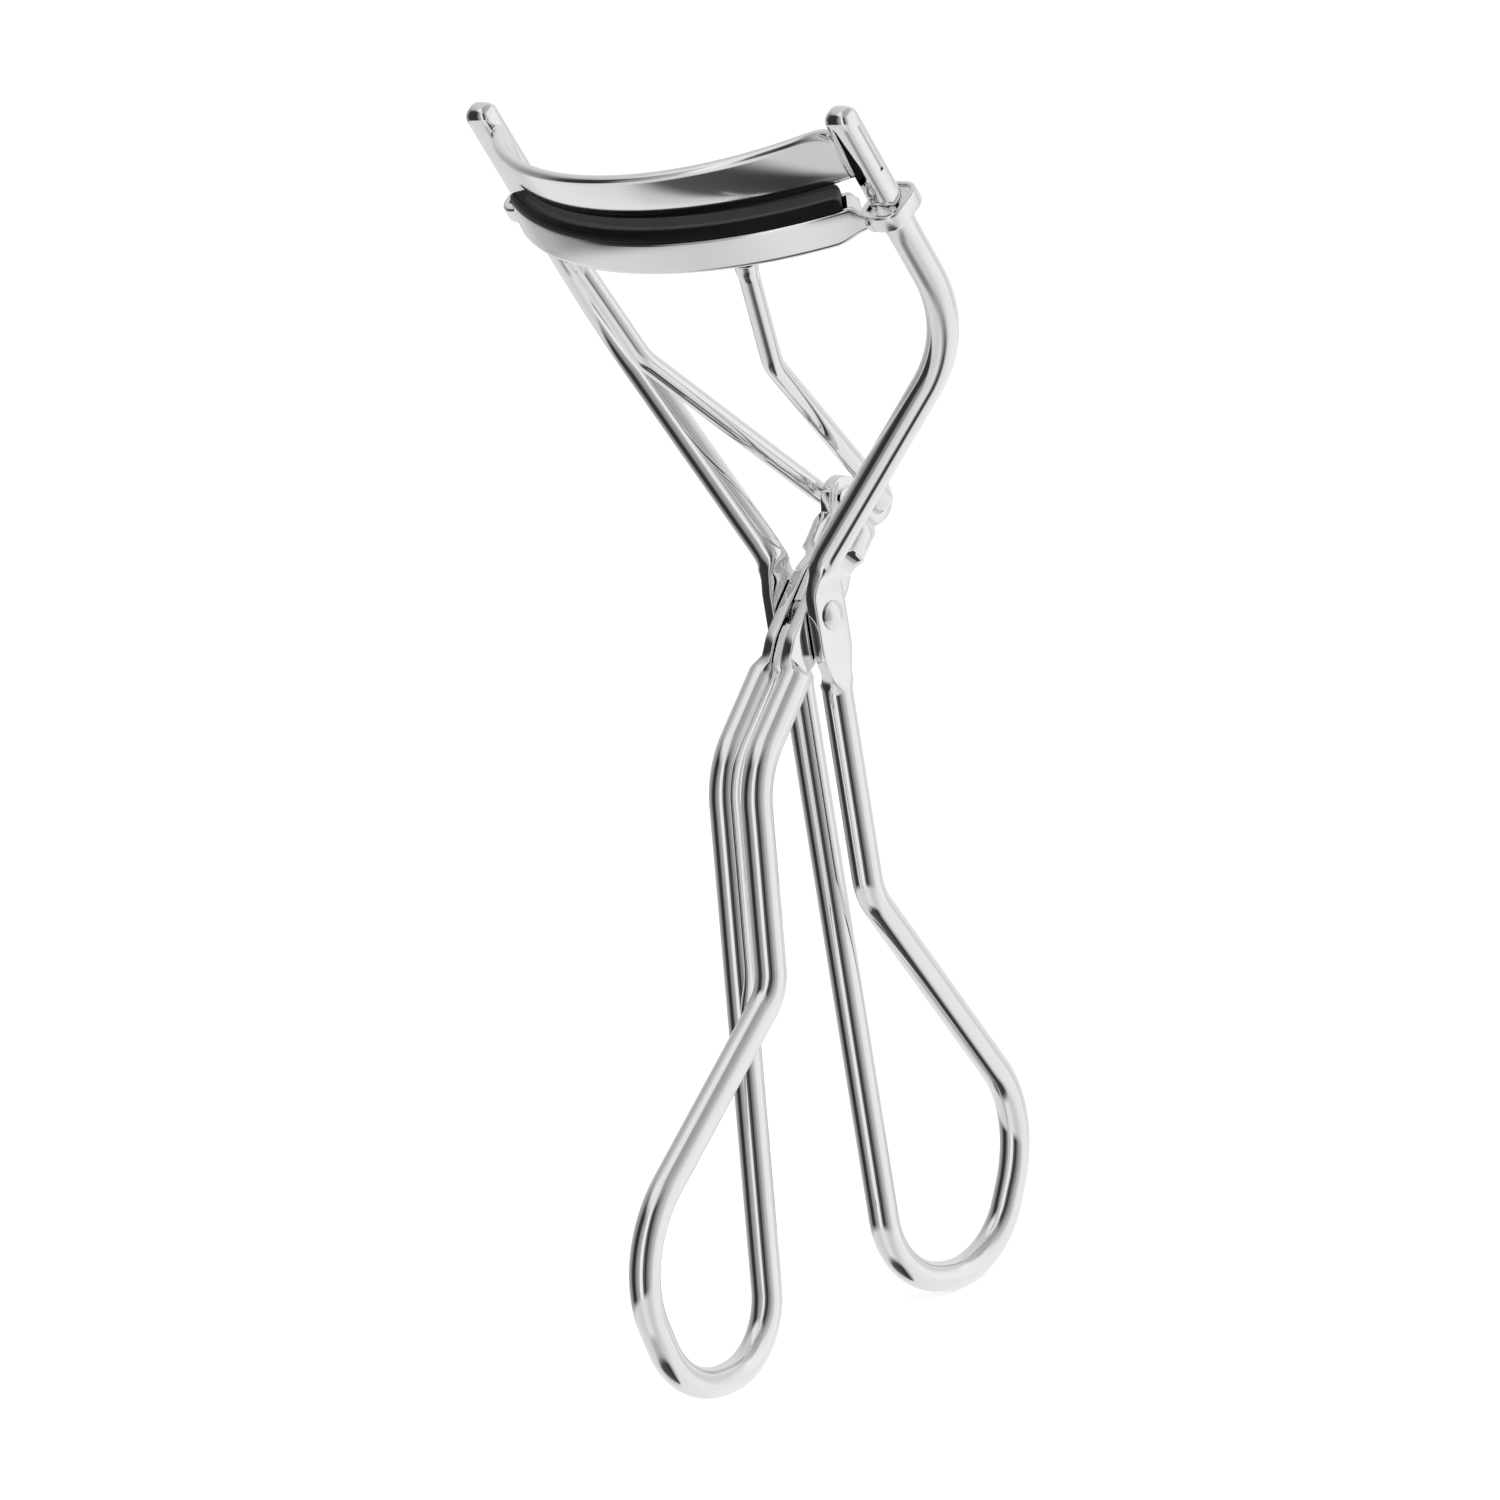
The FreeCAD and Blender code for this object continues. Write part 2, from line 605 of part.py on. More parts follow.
def make_lower_jaw():
    """The sliding jaw: a curved channel that holds the pad, with a ring round each post."""
    body = new_body("jaw_channel")
    body.Placement = jaw_placement()
    outline = band_sketch(body, "channel_outline", "dims.channel_radius", "dims.channel_deep",
                          "dims.channel_front", "dims.channel_half", "dims.channel_base")
    pad(body, outline, "channel_block", "dims.channel_tall")
    trough = band_sketch(body, "channel_trough", "dims.channel_radius - dims.channel_wall",
                         "dims.channel_deep - 2*dims.channel_wall", "dims.channel_front + dims.channel_wall",
                         "dims.channel_half - 2*dims.channel_wall", "dims.channel_base + dims.channel_wall")
    hollow = body.newObject("PartDesign::Pocket", "channel_hollow")
    hollow.Profile = trough
    hollow.Reversed = True
    hollow.setExpression("Length", "dims.channel_tall")
    doc.recompute()
    tools, rings = [], []
    for word, side in SIDES.items():
        ring, hole = make_ring(side, word)
        rings.append(ring)
        step = doc.addObject("Part::Box", "ring_step_" + word)
        step.Length, step.Width, step.Height = STEP_CUT
        x_start = side * (D["pad_half"] + 0.2)
        corner = at_post(x_start if side > 0 else x_start - STEP_CUT[0], D["post_offset"] - 6,
                         D["ring_foot"] + D["ring_tall"])
        step.Placement = FreeCAD.Placement(corner, post_placement().Rotation)
        tools += [hole, step]
    return cut("lower_jaw", fuse("lower_jaw_whole", [body] + rings), tools)


def make_rubber_pad():
    """The rubber strip: its root sits in the channel and its cap covers the channel's walls."""
    body = new_body("rubber_pad")
    body.Placement = jaw_placement()
    root = band_sketch(body, "pad_root_outline", "dims.channel_radius - dims.channel_wall - dims.pad_gap",
                       "dims.channel_deep - 2*dims.channel_wall - 2*dims.pad_gap",
                       "dims.channel_front + dims.channel_wall + dims.pad_gap",
                       "dims.pad_half - dims.channel_wall",
                       "dims.channel_base + dims.channel_wall + dims.pad_gap")
    pad(body, root, "pad_root", "dims.channel_tall - dims.channel_wall + 0.1")
    cap = band_sketch(body, "pad_cap_outline", "dims.channel_radius + dims.pad_overhang",
                      "dims.channel_deep + 2*dims.pad_overhang", "dims.channel_front - dims.pad_overhang",
                      "dims.pad_half", "dims.channel_base + dims.channel_tall + dims.pad_gap")
    block = pad(body, cap, "pad_cap", "dims.pad_top - dims.channel_base - dims.channel_tall - dims.pad_gap")
    rim = ["Edge%d" % (i + 1) for i, edge in enumerate(block.Shape.Edges)
           if all(abs(vertex.Point.z - D["pad_top"]) < 1e-6 for vertex in edge.Vertexes)]
    soft = body.newObject("PartDesign::Fillet", "pad_rounding")
    soft.Base = (block, rim)
    soft.setExpression("Radius", "dims.pad_round")
    doc.recompute()
    return body


def make_prong(side, word):
    """A wire from the lower jaw's floor to the lever's eye, ending in a pin that turns in the eye."""
    points = [at_post(side * D["prong_top_half"], D["prong_top_offset"], D["jaw_level"] + 3.0),
              at_post(side * D["prong_bend_half"], D["prong_bend_offset"], D["prong_bend_level"]),
              V(side * D["prong_foot_half"], EYE.y, EYE.z),
              V(side * D["prong_pin_end"], EYE.y, EYE.z)]
    bar = bend_wire("prong_" + word, points, [D["prong_bend_radius"], D["prong_foot_radius"]], "prong_dia")
    above = doc.addObject("Part::Box", "prong_trim_" + word)
    above.Length, above.Width, above.Height = TRIM_CUT
    corner = V(-TRIM_CUT[0] / 2, -TRIM_CUT[1] / 2, D["channel_base"])
    above.Placement = jaw_placement().multiply(FreeCAD.Placement(corner, FreeCAD.Rotation()))
    return cut("prong_" + word, bar, [above])


def named(obj, label):
    """Give a finished sub-part its name."""
    obj.Label = label
    return obj


def build():
    """Make every sub-part, in the order in which the tool is put together."""
    parts = {
        "frame_wire": make_frame_wire(),
        "upper_jaw": make_upper_jaw(),
        "lever_wire": make_lever_wire(),
        "lower_jaw": make_lower_jaw(),
        "rubber_pad": make_rubber_pad(),
    }
    for word, side in SIDES.items():
        parts["pivot_rivet_" + word] = make_rivet(side, word)
        parts["prong_" + word] = make_prong(side, word)
    doc.recompute()
    return {name: named(part, name) for name, part in parts.items()}


def check(parts):
    """Stop if any object failed, or any sub-part has no sound solid."""
    for item in doc.Objects:
        if "Invalid" in item.State or "Error" in item.State:
            raise RuntimeError("%s failed: %s" % (item.Name, item.State))
    for name, part in parts.items():
        shape = part.Shape
        if shape.isNull() or not shape.isValid() or not shape.Solids:
            raise RuntimeError("%s has no sound solid" % name)
        box = shape.BoundBox
        print("%-20s solids %d volume %8.2f  x %.2f..%.2f  y %.2f..%.2f  z %.2f..%.2f" % (
            name, len(shape.Solids), shape.Volume, box.XMin, box.XMax, box.YMin, box.YMax, box.ZMin, box.ZMax))


parts = build()
check(parts)
os.makedirs("parts", exist_ok=True)
for name, part in parts.items():
    part.Shape.exportStep("parts/%s.step" % name)
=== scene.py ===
"""An eyelash curler in bright nickel wire with a black rubber pad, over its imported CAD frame.

Every length in the classes below is in millimetres; meshes are made in metres.
"""

import logging
import math
from collections.abc import Iterable
from dataclasses import dataclass
from enum import Enum

import bmesh
import bpy
from mathutils import Matrix, Vector
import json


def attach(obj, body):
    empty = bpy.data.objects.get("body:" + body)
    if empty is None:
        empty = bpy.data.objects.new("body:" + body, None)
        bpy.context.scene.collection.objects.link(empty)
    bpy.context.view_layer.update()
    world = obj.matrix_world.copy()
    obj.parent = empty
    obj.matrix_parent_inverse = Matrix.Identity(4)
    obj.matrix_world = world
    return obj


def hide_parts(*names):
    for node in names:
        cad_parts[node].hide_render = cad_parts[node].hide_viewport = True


LOG = logging.getLogger("curler")
MM = 0.001
SIDES = (1, -1)

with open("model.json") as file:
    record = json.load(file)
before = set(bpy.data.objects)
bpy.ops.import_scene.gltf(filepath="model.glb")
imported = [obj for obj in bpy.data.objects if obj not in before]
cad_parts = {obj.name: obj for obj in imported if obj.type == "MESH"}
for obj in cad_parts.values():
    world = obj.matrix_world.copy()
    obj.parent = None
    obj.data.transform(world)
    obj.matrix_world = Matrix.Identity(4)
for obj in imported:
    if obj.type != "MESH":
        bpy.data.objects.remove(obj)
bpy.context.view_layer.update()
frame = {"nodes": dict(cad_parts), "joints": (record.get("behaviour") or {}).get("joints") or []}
JOINTS = {joint["name"]: joint for joint in frame["joints"]}
PIVOT_M = Vector(JOINTS["lever_pivot"]["pos_m"])
PIVOT = PIVOT_M / MM
EYE = Vector(JOINTS["prong_pivot"]["pos_m"]) / MM

Corner = tuple[float, float, float, float]
Stops = tuple[tuple[float, float], ...]


class Slot(Enum):
    """The record's material slots."""

    WIRE = "nickel_wire"
    SHEET = "nickel_sheet"
    RIVET = "nickel_rivet"
    RUBBER = "black_rubber"


# ------------------------------------------------------------------ places

@dataclass(frozen=True)
class Posts:
    """The guide posts' own directions: back is square to them, level runs up along them."""

    lean: float = math.radians(27.4)
    half_span: float = 17.6
    offset: float = 11.95

    def at(self, x: float, offset: float, level: float) -> Vector:
        """A point square to the posts, counted from the pivot."""
        return PIVOT + Vector((x, 0, 0)) + self.back * offset + self.up * level

    def level(self, point: Vector) -> float:
        """How far up along the posts a point lies, counted from the pivot."""
        return (point - PIVOT).dot(self.up)

    @property
    def up(self) -> Vector:
        """The direction along the posts."""
        return Vector((0, -math.sin(self.lean), math.cos(self.lean)))

    @property
    def back(self) -> Vector:
        """The direction square to the posts, away from the front."""
        return Vector((0, math.cos(self.lean), math.sin(self.lean)))


@dataclass(frozen=True)
class JawLevel:
    """The jaws' own level, tipped from square to the posts."""

    posts: Posts = Posts()
    tip: float = math.radians(14.0)
    offset: float = 10.9
    foot: float = 29.65

    def at(self, x: float, deep: float, high: float) -> Vector:
        """A point of the jaws.

        Args:
            x: how far across, to the right.
            deep: how far back.
            high: how far up.

        Returns:
            The point.
        """
        turn = self.posts.lean - self.tip
        origin = self.posts.at(0, self.offset, self.foot)
        back = Vector((0, math.cos(turn), math.sin(turn)))
        up = Vector((0, -math.sin(turn), math.cos(turn)))
        return origin + Vector((x, 0, 0)) + back * deep + up * high


def at_pivot(x: float, reach: float, rise: float) -> Vector:
    """A point counted from the pivot axis."""
    return PIVOT + Vector((x, reach, rise))


def ease(start: float, end: float, value: float) -> float:
    """0 before start, 1 after end and a smooth change between; start may be the larger."""
    t = min(max((value - start) / (end - start), 0.0), 1.0)
    return t * t * (3 - 2 * t)


def mix(first: float, second: float, share: float) -> float:
    """The value that lies a share of the way from first to second."""
    return first + (second - first) * share


# ------------------------------------------------------------------ mesh helpers

def skin(name: str, shells: Iterable[list[list[Vector]]],
         looped: bool = False) -> bpy.types.Object:
    """Cover rows of rings with faces.

    Args:
        name: the piece's name.
        shells: one or more closed bodies, each a row of rings with the same number of points.
        looped: whether each row's last ring joins its first; otherwise both ends are capped.

    Returns:
        The new object, in metres, with its normals outward.
    """
    mesh = bmesh.new()
    for rings in shells:
        rows = [[mesh.verts.new(point * MM) for point in ring] for ring in rings]
        pairs = list(zip(rows, rows[1:])) + ([(rows[-1], rows[0])] if looped else [])
        for row, after in pairs:
            for i in range(len(row)):
                k = (i + 1) % len(row)
                mesh.faces.new((row[i], row[k], after[k], after[i]))
        if not looped:
            mesh.faces.new(rows[0][::-1])
            mesh.faces.new(rows[-1])
    bmesh.ops.recalc_face_normals(mesh, faces=mesh.faces[:])
    data = bpy.data.meshes.new(name)
    mesh.to_mesh(data)
    mesh.free()
    smooth(data)
    piece = bpy.data.objects.new(name, data)
    bpy.context.collection.objects.link(piece)
    return piece


def smooth(data: bpy.types.Mesh, angle: float = math.radians(38)) -> None:
    """Shade a mesh smooth, with sharp edges past an angle."""
    data.shade_smooth()
    data.set_sharp_from_angle(angle=angle)


def drill(piece: bpy.types.Object, cutters: list[bpy.types.Object]) -> None:
    """Cut holes in a piece and drop the cutters.

    Args:
        piece: the piece to cut.
        cutters: closed bodies in the shape of the holes; they are removed afterwards.
    """
    for cutter in cutters:
        step = piece.modifiers.new("hole", "BOOLEAN")
        step.operation = "DIFFERENCE"
        step.solver = "EXACT"
        step.object = cutter
    graph = bpy.context.evaluated_depsgraph_get()
    data = bpy.data.meshes.new_from_object(piece.evaluated_get(graph))
    piece.modifiers.clear()
    old, piece.data = piece.data, data
    data.name = piece.name
    bpy.data.meshes.remove(old)
    smooth(data)
    for cutter in cutters:
        bpy.data.meshes.remove(cutter.data)


def rod(name: str, centre: Vector, radius: float, half: float = 5.0,
        sides: int = 48) -> bpy.types.Object:
    """A cylinder along X, for cutting holes.

    Args:
        name: its name.
        centre: its middle.
        radius: its radius.
        half: half its length.
        sides: how many flats it is made of.

    Returns:
        The cylinder, in metres.
    """
    turns = [2 * math.pi * i / sides for i in range(sides)]
    rings = [[centre + Vector((x, radius * math.cos(a), radius * math.sin(a))) for a in turns]
             for x in (-half, half)]
    return skin(name, [rings])


def fit(piece: bpy.types.Object, body: str, slot: Slot, finish: bpy.types.Material,
        *nodes: str) -> None:
    """Give a piece its finish, put it on its body and hide the CAD nodes it stands for.

    Args:
        piece: the new piece.
        body: the CAD body it rides on.
        slot: the record's material slot it is made of; not used.
        finish: its material.
        nodes: the CAD nodes it stands for.
    """
    piece.data.materials.clear()
    piece.data.materials.append(finish)
    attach(piece, body)
    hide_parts(*nodes)
    LOG.info("%s: %d faces", piece.name, len(piece.data.polygons))


# ------------------------------------------------------------------ wires

ROUND = 2.0
END_TURNS = (15, 30, 45, 60, 75, 90)
DOME_TURNS = (12, 24, 36, 48, 60, 72, 84)


@dataclass(frozen=True)
class Section:
    """A wire's outline square to its run: half sizes, squareness and sideways shift."""

    half_side: float
    half_deep: float
    power: float = ROUND
    shift: float = 0.0

    def ring(self, centre: Vector, side: Vector, deep: Vector, count: int) -> list[Vector]:
        """The outline's points about a centre.

        Args:
            centre: the centre.
            side: the direction that half_side is measured in.
            deep: the direction that half_deep is measured in.
            count: how many points.

        Returns:
            The points in order.
        """
        points = []
        for i in range(count):
            turn = 2 * math.pi * i / count
            across, along = math.cos(turn), math.sin(turn)
            u = math.copysign(abs(across) ** (2 / self.power), across) * self.half_side + self.shift
            v = math.copysign(abs(along) ** (2 / self.power), along) * self.half_deep
            points.append(centre + side * u + deep * v)
        return points


@dataclass(frozen=True)
class Wire:
    """A bent wire: corners with bend radii, swept by a section that may change along the way."""

    gauge: float = 2.4
    step: float = 0.45
    around: int = 48
    reference: tuple[float, float, float] = (1.0, 0.0, 0.0)

    def corners(self) -> list[tuple[Vector, float]]:
        """The corners of the centre line, each with its bend radius."""
        raise NotImplementedError

    def section(self, point: Vector) -> Section:
        """The section at a point of the centre line."""
        return Section(self.gauge / 2, self.gauge / 2)

    def run(self) -> list[tuple[Vector, Vector]]:
        """Walk the centre line.

        Returns:
            Points with the direction of the wire at each.
        """
        corners = self.corners()
        walk: list[tuple[Vector, Vector]] = []
        start = corners[0][0]
        for (before, _), (corner, radius), (after, _) in zip(corners, corners[1:], corners[2:]):
            back, ahead = (before - corner).normalized(), (after - corner).normalized()
            half = back.angle(ahead) / 2
            leg = radius / math.tan(half)
            centre = corner + (back + ahead).normalized() * (radius / math.sin(half))
            first = corner + back * leg
            self._straight(walk, start, first)
            turn = math.pi - 2 * half
            arm, heading = first - centre, -back
            pieces = max(6, math.ceil(radius * turn / self.step))
            for i in range(1, pieces + 1):
                a = turn * i / pieces
                walk.append((centre + arm * math.cos(a) + heading * radius * math.sin(a),
                             heading * math.cos(a) - arm / radius * math.sin(a)))
            start = corner + ahead * leg
        self._straight(walk, start, corners[-1][0])
        return walk

    def _straight(self, walk: list[tuple[Vector, Vector]], start: Vector, end: Vector) -> None:
        """Add a straight run's points, leaving out its start when the walk already ends there.

        Args:
            walk: the points and directions so far, added to in place.
            start: where the run starts.
            end: where it ends.
        """
        pieces = max(1, math.ceil((end - start).length / self.step))
        heading = (end - start).normalized()
        walk += [(start.lerp(end, i / pieces), heading)
                 for i in range(1 if walk else 0, pieces + 1)]

    def ring(self, section: Section, point: Vector, heading: Vector) -> list[Vector]:
        """One ring of the skin, its side direction kept near the reference.

        Args:
            section: the section there.
            point: the point of the centre line.
            heading: the wire's direction there.

        Returns:
            The ring's points.
        """
        side = Vector(self.reference)
        side = (side - heading * side.dot(heading)).normalized()
        return section.ring(point, side, heading.cross(side), self.around)

    def rings(self) -> list[list[Vector]]:
        """Every ring from end to end."""
        return [self.ring(self.section(point), point, heading) for point, heading in self.run()]

    def make(self, name: str) -> bpy.types.Object:
        """Sweep the section along the centre line."""
        return skin(name, [self.rings()])


# ------------------------------------------------------------------ finishes

class Nodes:
    """A short way to wire a shader tree."""

    def __init__(self, tree: bpy.types.NodeTree) -> None:
        """Take a tree to work in, and empty it."""
        self.tree = tree
        tree.nodes.clear()

    def add(self, kind: str, **sockets: object) -> bpy.types.Node:
        """Add a node.

        Args:
            kind: Blender's node type.
            sockets: values for attributes or for input sockets, spaces written as underscores.

        Returns:
            The new node.
        """
        node = self.tree.nodes.new(kind)
        for name, value in sockets.items():
            if hasattr(node, name):
                setattr(node, name, value)
            else:
                node.inputs[name.replace("_", " ")].default_value = value
        return node

    def link(self, source: bpy.types.NodeSocket, target: bpy.types.NodeSocket) -> None:
        """Join an output socket to an input socket."""
        self.tree.links.new(source, target)

    def math(self, operation: str, *values: object) -> bpy.types.NodeSocket:
        """Add a math node.

        Args:
            operation: what it does.
            values: its inputs in order, sockets or numbers.

        Returns:
            Its output.
        """
        node = self.tree.nodes.new("ShaderNodeMath")
        node.operation = operation
        for value, target in zip(values, node.inputs):
            if isinstance(value, bpy.types.NodeSocket):
                self.link(value, target)
            else:
                target.default_value = value
        return node.outputs[0]

    def blend(self, share: bpy.types.NodeSocket, first: object,
              second: object) -> bpy.types.NodeSocket:
        """Add a colour mix.

        Args:
            share: how much of the second colour.
            first: a socket, or the first colour.
            second: a socket, or the second colour.

        Returns:
            The mixed colour.
        """
        node = self.add("ShaderNodeMix", data_type="RGBA")
        self.link(share, node.inputs["Factor"])
        for name, value in (("A", first), ("B", second)):
            if isinstance(value, bpy.types.NodeSocket):
                self.link(value, node.inputs[name])
            else:
                node.inputs[name].default_value = value
        return node.outputs["Result"]


@dataclass(frozen=True)
class Noise:
    """A noise texture in the piece's own coordinates."""

    scale: float
    detail: float
    roughness: float

    def add(self, nodes: Nodes, place: bpy.types.NodeSocket) -> bpy.types.NodeSocket:
        """Add the texture.

        Args:
            nodes: the tree.
            place: the coordinates to read it at.

        Returns:
            Its strength.
        """
        texture = nodes.add("ShaderNodeTexNoise", Scale=self.scale, Detail=self.detail,
                            Roughness=self.roughness)
        nodes.link(place, texture.inputs["Vector"])
        return texture.outputs["Fac"]


@dataclass(frozen=True)
class Finish:
    """A surface whose colour and roughness drift with a broad noise, over a fine grain.

    Shades are what the tint is multiplied by where the broad noise is low and where it is high.
    """

    name: str
    tint: tuple[float, float, float]
    shades: tuple[float, float]
    roughness: float
    cloud: float
    ripple: float
    broad: Noise
    grain: Noise
    ripple_depth: float = 0.00002

    def shader(self, nodes: Nodes) -> bpy.types.Node:
        """The shader before the noises are wired to it."""
        raise NotImplementedError

    def make(self) -> bpy.types.Material:
        """Build the material.

        Returns:
            The finished material.
        """
        material = bpy.data.materials.new(self.name)
        material.use_nodes = True
        nodes = Nodes(material.node_tree)
        out = nodes.add("ShaderNodeOutputMaterial")
        shader = self.shader(nodes)
        nodes.link(shader.outputs[0], out.inputs[0])
        place = nodes.add("ShaderNodeTexCoord").outputs["Object"]
        clouds, grain = self.broad.add(nodes, place), self.grain.add(nodes, place)
        rough = nodes.math("MULTIPLY_ADD", clouds, self.cloud, self.roughness - self.cloud / 2)
        nodes.link(rough, shader.inputs["Roughness"])
        low, high = ((*(shade * c for c in self.tint), 1.0) for shade in self.shades)
        nodes.link(nodes.blend(clouds, low, high), shader.inputs["Base Color"])
        bump = nodes.add("ShaderNodeBump", Strength=self.ripple, Distance=self.ripple_depth)
        nodes.link(grain, bump.inputs["Height"])
        nodes.link(bump.outputs[0], shader.inputs["Normal"])
        return material


@dataclass(frozen=True)
class Nickel(Finish):
    """Bright nickel plate over steel: faint cloudiness and a very fine ripple."""

    name: str
    tint: tuple[float, float, float] = (0.93, 0.93, 0.935)
    shades: tuple[float, float] = (0.955, 1.0)
    roughness: float = 0.035
    cloud: float = 0.03
    ripple: float = 0.02
    broad: Noise = Noise(420.0, 4.0, 0.6)
    grain: Noise = Noise(5200.0, 2.0, 0.5)

    def shader(self, nodes: Nodes) -> bpy.types.Node:
        """A metal shader."""
        return nodes.add("ShaderNodeBsdfPrincipled", Metallic=1.0)


@dataclass(frozen=True)
class Rubber(Finish):
    """Moulded black silicone: a satin skin with a faint grain and dusty bloom."""

    name: str = "black_rubber_skin"
    tint: tuple[float, float, float] = (0.003, 0.003, 0.0032)
    shades: tuple[float, float] = (1.0, 2.0)
    roughness: float = 0.34
    cloud: float = 0.12
    ripple: float = 0.12
    broad: Noise = Noise(650.0, 5.0, 0.65)
    grain: Noise = Noise(9000.0, 3.0, 0.6)
    ior: float = 1.40
    sheen: float = 0.1

    def shader(self, nodes: Nodes) -> bpy.types.Node:
        """A dull plastic shader."""
        return nodes.add("ShaderNodeBsdfPrincipled", IOR=self.ior, Specular_IOR_Level=self.sheen)


# ------------------------------------------------------------------ studio

@dataclass(frozen=True)
class Cyclorama:
    """What the polished metal mirrors: brightness round the compass in four bands of height.

    Each stop is (degrees clockwise from the front, seen from above; brightness). Each change gives
    the heights, in degrees, between which below, nadir and above take over.
    """

    level: Stops = (
        (-180, 0.82), (-150, 0.76), (-120, 0.66), (-98, 0.46), (-74, 0.28), (-55, 0.04),
        (-36, 0.03), (-22, 0.28), (-4, 0.42), (8, 0.95), (20, 0.85), (28, 0.12), (44, 0.03),
        (55, 0.20), (80, 0.50), (104, 0.85), (135, 0.92), (158, 0.68), (180, 0.82))
    below: Stops = (
        (-180, 0.90), (-110, 0.82), (-60, 0.72), (-20, 0.66), (20, 0.80), (60, 0.62),
        (110, 0.85), (180, 0.90))
    nadir: Stops = (
        (-180, 0.85), (-110, 0.80), (-75, 0.62), (-40, 0.08), (55, 0.04), (75, 0.45),
        (90, 0.80), (180, 0.85))
    above: Stops = (
        (-180, 0.70), (-70, 0.60), (-40, 0.85), (20, 0.82), (45, 0.36), (100, 0.42),
        (150, 0.52), (180, 0.70))
    changes: Stops = ((-22, -29), (-52, -64), (32, 52))
    backdrop: float = 1.05

    def hang(self) -> None:
        """Build the world's shader."""
        world = bpy.data.worlds.new("cyclorama")
        bpy.context.scene.world = world
        world.use_nodes = True
        nodes = Nodes(world.node_tree)
        out = nodes.add("ShaderNodeOutputWorld")
        split = nodes.add("ShaderNodeSeparateXYZ")
        nodes.link(nodes.add("ShaderNodeTexCoord").outputs["Generated"], split.inputs[0])
        east, north, up = split.outputs
        turn = nodes.math("ARCTAN2", east, nodes.math("MULTIPLY", north, -1.0))
        compass = nodes.math("ADD", nodes.math("DIVIDE", turn, 2 * math.pi), 0.5)
        mixed, *others = [self._ramp(nodes, compass, stops)
                          for stops in (self.level, self.below, self.nadir, self.above)]
        for ramp, change in zip(others, self.changes):
            heights = (math.sin(math.radians(degrees)) for degrees in change)
            mixed = self._blend(nodes, mixed, ramp, up, *heights)
        sky = nodes.add("ShaderNodeBackground", Strength=1.0)
        nodes.link(mixed, sky.inputs["Color"])
        seen = nodes.add("ShaderNodeBackground", Color=(1, 1, 1, 1), Strength=self.backdrop)
        choose = nodes.add("ShaderNodeMixShader")
        nodes.link(nodes.add("ShaderNodeLightPath").outputs["Is Camera Ray"], choose.inputs[0])
        nodes.link(sky.outputs[0], choose.inputs[1])
        nodes.link(seen.outputs[0], choose.inputs[2])
        nodes.link(choose.outputs[0], out.inputs[0])

    @staticmethod
    def _ramp(nodes: Nodes, compass: bpy.types.NodeSocket, stops: Stops) -> bpy.types.NodeSocket:
        """A ramp of brightness round the compass.

        Args:
            nodes: the tree.
            compass: the direction, from 0 to 1 for a whole turn.
            stops: the ramp's stops.

        Returns:
            The ramp's colour.
        """
        node = nodes.add("ShaderNodeValToRGB")
        ramp = node.color_ramp
        ramp.interpolation = "EASE"
        while len(ramp.elements) < len(stops):
            ramp.elements.new(0.5)
        for element, (degrees, _) in zip(ramp.elements, stops):
            element.position = degrees / 360 + 0.5
        for element, (_, value) in zip(ramp.elements, stops):
            element.color = (value, value, value, 1.0)
        nodes.link(compass, node.inputs[0])
        return node.outputs["Color"]

    @staticmethod
    def _blend(nodes: Nodes, first: bpy.types.NodeSocket, second: bpy.types.NodeSocket,
               up: bpy.types.NodeSocket, start: float, end: float) -> bpy.types.NodeSocket:
        """Change from one ramp to another between two heights.

        Args:
            nodes: the tree.
            first: the colour before the change.
            second: the colour after it.
            up: the direction's height, the sine of its angle.
            start: the height where the change starts.
            end: the height where it ends.

        Returns:
            The colour.
        """
        step = nodes.add("ShaderNodeMapRange", interpolation_type="SMOOTHSTEP")
        step.inputs["From Min"].default_value = start
        step.inputs["From Max"].default_value = end
        nodes.link(up, step.inputs["Value"])
        return nodes.blend(step.outputs[0], first, second)


@dataclass(frozen=True)
class Lamp:
    """A square soft light, placed in metres."""

    name: str
    spot: tuple[float, float, float]
    size: float
    power: float

    def hang(self) -> None:
        """Aim the lamp at the pivot, unseen in the metal."""
        light = bpy.data.lights.new(self.name, "AREA")
        light.shape = "SQUARE"
        light.size = self.size
        light.energy = self.power
        lamp = bpy.data.objects.new(self.name, light)
        lamp.location = self.spot
        aim = PIVOT_M - Vector(self.spot)
        lamp.rotation_euler = aim.to_track_quat("-Z", "Y").to_euler()
        lamp.visible_glossy = False
        bpy.context.collection.objects.link(lamp)


